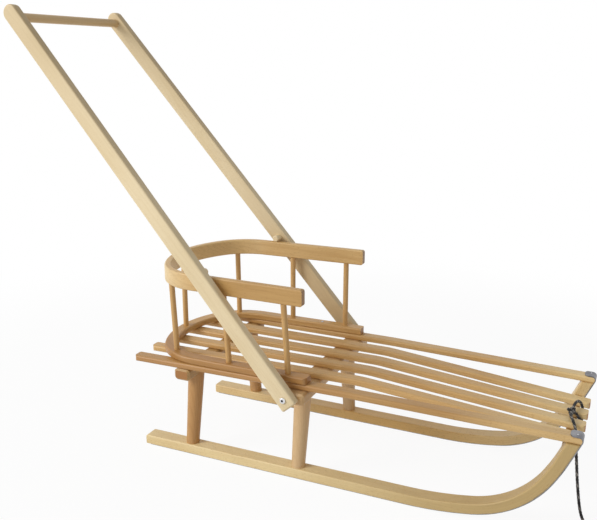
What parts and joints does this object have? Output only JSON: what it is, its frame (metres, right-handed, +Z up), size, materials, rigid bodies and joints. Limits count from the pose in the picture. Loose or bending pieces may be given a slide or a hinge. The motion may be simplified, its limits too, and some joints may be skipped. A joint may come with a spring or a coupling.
{
  "type": "sled",
  "caption": "Wooden sled with bent steel-shod runners, a slatted seat, a spindle backrest and a push handle that rests on the backrest and swings forward; a tow rope hangs at the front.",
  "frame": {"origin": "on the floor plane, midway between the nose tips and the push handle's rearmost point, and midway between the runners", "axes": "+X forwards towards the runner noses, +Y to the sled's left, +Z up"},
  "size_m": [1.2534, 0.4218, 0.9442],
  "materials": {
    "runner_wood": "clear lacquered pale wood",
    "seat_wood": "clear lacquered warm wood",
    "frame_wood": "clear lacquered wood",
    "back_wood": "clear lacquered warm wood",
    "pole_wood": "pale sanded wood",
    "shoe_steel": "bare strip steel",
    "bolt_steel": "zinc-plated",
    "rope": "braided cord with light flecks"
  },
  "bodies": {
    "sled": {"runner_left": "runner_wood", "runner_shoe_left": "shoe_steel", "slat_outer_left": "seat_wood", "runner_right": "runner_wood", "runner_shoe_right": "shoe_steel", "slat_outer_right": "seat_wood", "slat_mid_left": "seat_wood", "slat_inner_left": "seat_wood", "slat_inner_right": "seat_wood", "slat_mid_right": "seat_wood", "crossbar_rear": "frame_wood", "crossbar_mid": "frame_wood", "crossbar_front": "frame_wood", "leg_rear_left": "frame_wood", "leg_rear_right": "frame_wood", "leg_mid_left": "frame_wood", "leg_mid_right": "frame_wood", "back_lower_hoop": "back_wood", "back_upper_hoop": "back_wood", "spindle_back_centre": "back_wood", "spindle_back_left": "back_wood", "spindle_back_right": "back_wood", "spindle_side_left": "back_wood", "spindle_side_right": "back_wood", "spindle_front_left": "back_wood", "spindle_front_right": "back_wood", "pivot_bolt_left": "bolt_steel", "pivot_bolt_right": "bolt_steel", "tow_rope_loop": "rope", "tow_rope_knot": "rope", "tow_rope": "rope", "tow_rope_coil": "rope", "tow_rope_end_knot": "rope"},
    "push_handle": {"handle_pole_left": "pole_wood", "handle_pole_right": "pole_wood", "handle_peg_left": "pole_wood", "handle_peg_right": "pole_wood", "handle_grip": "pole_wood"}
  },
  "joints": [
    {"name": "handle_pivot", "type": "hinge", "parent": "sled", "child": "push_handle", "pos_m": [0.05295, 0, 0.19305], "axis": [0, 1, 0], "range_deg": [0, 124]}
  ]
}
